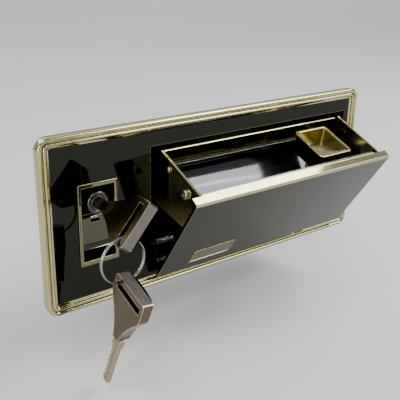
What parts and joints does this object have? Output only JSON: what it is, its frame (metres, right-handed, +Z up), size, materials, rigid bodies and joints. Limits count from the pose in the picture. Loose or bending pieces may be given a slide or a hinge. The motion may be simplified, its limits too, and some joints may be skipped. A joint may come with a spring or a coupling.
{
  "type": "tilt-out hopper letter plate",
  "caption": "Lockable tilt-out hopper plate for a door: moulded mirror-gold face, bottom-hinged tray with a square cup, finger pocket, key lock and keys on a ring.",
  "frame": {"origin": "centre of the face plate's outline, on the plane of the door's face", "axes": "+X to the right along the plate seen from outside, +Y into the door, +Z up"},
  "size_m": [0.235, 0.1113, 0.1324],
  "materials": {
    "gold_mirror": "mirror-polished pale gold plating on a die-cast base",
    "gold_sheet": "polished yellow gold plated sheet",
    "black_nickel": "glossy black nickel",
    "cup_brass": "pressed brass, polished rim and satin inside",
    "turned_brass": "machined brass",
    "plain_steel": "zinc-plated steel",
    "blackened_steel": "black satin coated sheet steel",
    "gasket_foam": "closed-cell foam",
    "bronze_satin": "satin bronze-grey plated zinc, brushed end face",
    "key_nickel": "nickel silver with a warm tarnish"
  },
  "bodies": {
    "plate": {"face_plate": "gold_mirror", "door_gasket": "gasket_foam", "stud_upper_left": "plain_steel", "stud_lower_left": "plain_steel", "stud_upper_right": "plain_steel", "stud_lower_right": "plain_steel", "stud_nut_upper_left": "plain_steel", "stud_nut_lower_left": "plain_steel", "stud_nut_upper_right": "plain_steel", "stud_nut_lower_right": "plain_steel", "pocket_bezel": "gold_mirror", "pocket_cup": "gold_mirror", "lock_cylinder": "plain_steel", "lock_nut": "plain_steel", "paddle_pin": "plain_steel", "paddle_spring": "plain_steel", "case_top": "blackened_steel", "case_bottom": "blackened_steel", "case_back": "blackened_steel", "case_end_left": "blackened_steel", "case_end_right": "blackened_steel", "hinge_bracket_left": "blackened_steel", "hinge_bracket_right": "blackened_steel", "pivot_pin_left": "plain_steel", "pivot_pin_right": "plain_steel", "pivot_clip_left": "plain_steel", "pivot_clip_right": "plain_steel", "pivot_bush_left": "turned_brass", "pivot_bush_right": "turned_brass", "tilt_spring": "plain_steel", "bolt_guide": "turned_brass"},
    "hopper": {"flap": "gold_mirror", "flap_badge": "gold_mirror", "cheek_left": "gold_sheet", "cheek_right": "gold_sheet", "cheek_screw_left_front": "plain_steel", "cheek_screw_left_rear": "plain_steel", "cheek_screw_right_front": "plain_steel", "cheek_screw_right_rear": "plain_steel", "tray_shell": "gold_sheet", "tray_liner": "black_nickel", "hinge_arm_left": "plain_steel", "hinge_arm_right": "plain_steel", "snuff_cup": "cup_brass", "cup_rest": "cup_brass", "cup_foot": "cup_brass"},
    "lock_plug": {"lock_plug": "turned_brass", "lock_cam": "plain_steel", "cam_screw": "plain_steel"},
    "bolt": {"bolt_carrier": "plain_steel", "bolt_rod": "plain_steel", "bolt_spring": "plain_steel"},
    "paddle": {"finger_paddle": "gold_mirror"},
    "inserted_key": {"key_1_head": "bronze_satin", "key_1_blade": "key_nickel"},
    "key_ring": {"split_ring": "plain_steel"},
    "spare_key": {"key_2_head": "bronze_satin", "key_2_blade": "key_nickel"}
  },
  "joints": [
    {"name": "hopper_tilt", "type": "hinge", "parent": "plate", "child": "hopper", "pos_m": [0.028, 0.0092, -0.0424], "axis": [1, 0, 0], "range_deg": [-33.6, 0]},
    {"name": "key_turn", "type": "hinge", "parent": "plate", "child": "lock_plug", "pos_m": [-0.0848, 0.01, 0.0102], "axis": [0, 1, 0], "range_deg": [-40, 50]},
    {"name": "bolt_slide", "type": "slide", "parent": "plate", "child": "bolt", "axis": [1, 0, 0], "range_m": [-0.006, 0.0048], "deforming": ["bolt_spring"]},
    {"name": "paddle_pull", "type": "hinge", "parent": "plate", "child": "paddle", "pos_m": [-0.08465, 0.0016, 0.0006], "axis": [1, 0, 0], "range_deg": [-28, 0], "stiffness_Nm_per_rad": 0.03},
    {"name": "key_pull", "type": "slide", "parent": "lock_plug", "child": "inserted_key", "axis": [0, -1, 0], "range_m": [0, 0.034]},
    {"name": "ring_swing", "type": "hinge", "parent": "inserted_key", "child": "key_ring", "pos_m": [-0.09436, -0.0397, 0.00347], "axis": [0, 1, 0], "range_deg": [-20, 30]},
    {"name": "spare_key_swing", "type": "hinge", "parent": "key_ring", "child": "spare_key", "pos_m": [-0.0916, -0.0397, -0.0198], "axis": [1, 0, 0], "range_deg": [-40, 15]}
  ],
  "couplings": [
    {"joint": "bolt_slide", "follows": "key_turn", "m_per_rad": -0.0066}
  ]
}
